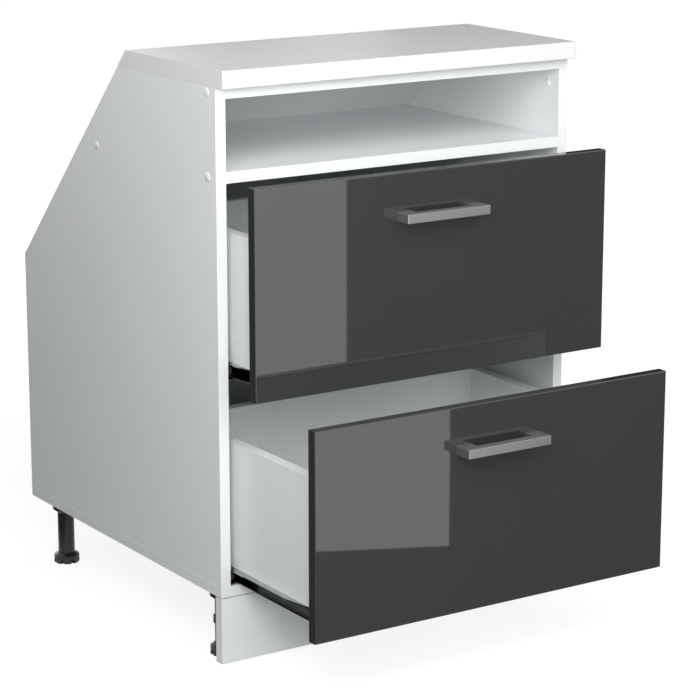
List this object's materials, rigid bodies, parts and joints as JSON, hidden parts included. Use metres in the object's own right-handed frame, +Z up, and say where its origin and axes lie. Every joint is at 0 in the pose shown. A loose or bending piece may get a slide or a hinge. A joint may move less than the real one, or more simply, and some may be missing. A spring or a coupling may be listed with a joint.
{
  "type": "sloped ceiling kitchen cabinet",
  "caption": "Base cabinet for under a sloped ceiling: rear cut to the roof line, open niche below the worktop, gloss fronted drawers on roller runners, clip-on plinth and levelling legs.",
  "frame": {"origin": "on the floor under the middle of the part's width and of its depth as drawn, from the lower handle to the wall face", "axes": "+X to the right seen from the front, +Y from the drawer fronts to the wall, +Z up from the floor"},
  "size_m": [0.601, 0.8748, 0.85],
  "materials": {
    "white_board": "matt white coated chipboard",
    "pale_worktop": "matt pale coated board",
    "white_hardboard": "smooth white coated fibreboard",
    "black_clip_plastic": "moulded, satin",
    "black_leg_plastic": "moulded, satin",
    "white_cap_plastic": "smooth",
    "zinc_steel": "bright zinc plated",
    "beech": "plain fluted dowel",
    "galvanised_steel": "bright galvanised strip, roll formed",
    "dark_roller_plastic": "moulded, satin",
    "gloss_anthracite": "high gloss anthracite on fibreboard",
    "brushed_handle": "brushed along its length",
    "cam_zinc": "die cast zinc"
  },
  "bodies": {
    "carcass": {"base_panel": "white_board", "left_side_panel": "white_board", "right_side_panel": "white_board", "niche_shelf": "white_board", "top_panel": "white_board", "worktop": "pale_worktop", "vertical_back_panel": "white_hardboard", "sloped_back_panel": "white_hardboard", "knee_rail": "white_board", "plinth_panel": "white_board", "plinth_clips": "black_clip_plastic", "front_left_leg": "black_leg_plastic", "front_right_leg": "black_leg_plastic", "rear_left_leg": "black_leg_plastic", "rear_right_leg": "black_leg_plastic", "screw_caps": "white_cap_plastic", "carcass_screws": "zinc_steel", "carcass_dowels": "beech", "worktop_screws": "zinc_steel", "fixing_screws": "zinc_steel", "lower_left_carcass_rail": "galvanised_steel", "lower_right_carcass_rail": "galvanised_steel", "upper_left_carcass_rail": "galvanised_steel", "upper_right_carcass_rail": "galvanised_steel"},
    "lower_drawer": {"lower_drawer_front": "gloss_anthracite", "lower_drawer_left_side": "white_board", "lower_drawer_right_side": "white_board", "lower_drawer_back": "white_board", "lower_drawer_bottom": "white_hardboard", "lower_left_drawer_rail": "galvanised_steel", "lower_right_drawer_rail": "galvanised_steel", "lower_handle": "brushed_handle", "lower_handle_screws": "zinc_steel", "lower_cam_locks": "cam_zinc", "lower_cam_bolts": "zinc_steel", "lower_box_screws": "zinc_steel"},
    "lower_left_front_roller": {"lower_left_front_roller": "dark_roller_plastic"},
    "lower_left_rear_roller": {"lower_left_rear_roller": "dark_roller_plastic"},
    "lower_right_front_roller": {"lower_right_front_roller": "dark_roller_plastic"},
    "lower_right_rear_roller": {"lower_right_rear_roller": "dark_roller_plastic"},
    "upper_drawer": {"upper_drawer_front": "gloss_anthracite", "upper_drawer_left_side": "white_board", "upper_drawer_right_side": "white_board", "upper_drawer_back": "white_board", "upper_drawer_bottom": "white_hardboard", "upper_left_drawer_rail": "galvanised_steel", "upper_right_drawer_rail": "galvanised_steel", "upper_handle": "brushed_handle", "upper_handle_screws": "zinc_steel", "upper_cam_locks": "cam_zinc", "upper_cam_bolts": "zinc_steel", "upper_box_screws": "zinc_steel"},
    "upper_left_front_roller": {"upper_left_front_roller": "dark_roller_plastic"},
    "upper_left_rear_roller": {"upper_left_rear_roller": "dark_roller_plastic"},
    "upper_right_front_roller": {"upper_right_front_roller": "dark_roller_plastic"},
    "upper_right_rear_roller": {"upper_right_rear_roller": "dark_roller_plastic"},
    "front_left_foot": {"front_left_foot": "black_leg_plastic"},
    "front_right_foot": {"front_right_foot": "black_leg_plastic"},
    "rear_left_foot": {"rear_left_foot": "black_leg_plastic"},
    "rear_right_foot": {"rear_right_foot": "black_leg_plastic"}
  },
  "joints": [
    {"name": "lower_drawer_slide", "type": "slide", "parent": "carcass", "child": "lower_drawer", "axis": [0, -1, 0], "range_m": [-0.2267, 0.0733]},
    {"name": "lower_left_front_roller_spin", "type": "hinge", "parent": "carcass", "child": "lower_left_front_roller", "pos_m": [-0.2788, -0.14865, 0.128], "axis": [1, 0, 0], "continuous": true},
    {"name": "lower_left_rear_roller_spin", "type": "hinge", "parent": "lower_drawer", "child": "lower_left_rear_roller", "pos_m": [-0.2767, -0.00735, 0.1275], "axis": [1, 0, 0], "continuous": true},
    {"name": "lower_right_front_roller_spin", "type": "hinge", "parent": "carcass", "child": "lower_right_front_roller", "pos_m": [0.2788, -0.14865, 0.128], "axis": [1, 0, 0], "continuous": true},
    {"name": "lower_right_rear_roller_spin", "type": "hinge", "parent": "lower_drawer", "child": "lower_right_rear_roller", "pos_m": [0.2767, -0.00735, 0.1275], "axis": [1, 0, 0], "continuous": true},
    {"name": "upper_drawer_slide", "type": "slide", "parent": "carcass", "child": "upper_drawer", "axis": [0, -1, 0], "range_m": [-0.0784, 0.1466]},
    {"name": "upper_left_front_roller_spin", "type": "hinge", "parent": "carcass", "child": "upper_left_front_roller", "pos_m": [-0.2788, -0.14865, 0.4275], "axis": [1, 0, 0], "continuous": true},
    {"name": "upper_left_rear_roller_spin", "type": "hinge", "parent": "upper_drawer", "child": "upper_left_rear_roller", "pos_m": [-0.2767, 0.04095, 0.427], "axis": [1, 0, 0], "continuous": true},
    {"name": "upper_right_front_roller_spin", "type": "hinge", "parent": "carcass", "child": "upper_right_front_roller", "pos_m": [0.2788, -0.14865, 0.4275], "axis": [1, 0, 0], "continuous": true},
    {"name": "upper_right_rear_roller_spin", "type": "hinge", "parent": "upper_drawer", "child": "upper_right_rear_roller", "pos_m": [0.2767, 0.04095, 0.427], "axis": [1, 0, 0], "continuous": true},
    {"name": "front_left_foot_height", "type": "slide", "parent": "carcass", "child": "front_left_foot", "axis": [0, 0, -1], "range_m": [0, 0.015]},
    {"name": "front_right_foot_height", "type": "slide", "parent": "carcass", "child": "front_right_foot", "axis": [0, 0, -1], "range_m": [0, 0.015]},
    {"name": "rear_left_foot_height", "type": "slide", "parent": "carcass", "child": "rear_left_foot", "axis": [0, 0, -1], "range_m": [0, 0.015]},
    {"name": "rear_right_foot_height", "type": "slide", "parent": "carcass", "child": "rear_right_foot", "axis": [0, 0, -1], "range_m": [0, 0.015]}
  ],
  "couplings": [
    {"joint": "lower_left_front_roller_spin", "follows": "lower_drawer_slide", "rad_per_m": 111.11},
    {"joint": "lower_left_rear_roller_spin", "follows": "lower_drawer_slide", "rad_per_m": 111.11},
    {"joint": "lower_right_front_roller_spin", "follows": "lower_drawer_slide", "rad_per_m": 111.11},
    {"joint": "lower_right_rear_roller_spin", "follows": "lower_drawer_slide", "rad_per_m": 111.11},
    {"joint": "upper_left_front_roller_spin", "follows": "upper_drawer_slide", "rad_per_m": 111.11},
    {"joint": "upper_left_rear_roller_spin", "follows": "upper_drawer_slide", "rad_per_m": 111.11},
    {"joint": "upper_right_front_roller_spin", "follows": "upper_drawer_slide", "rad_per_m": 111.11},
    {"joint": "upper_right_rear_roller_spin", "follows": "upper_drawer_slide", "rad_per_m": 111.11}
  ]
}
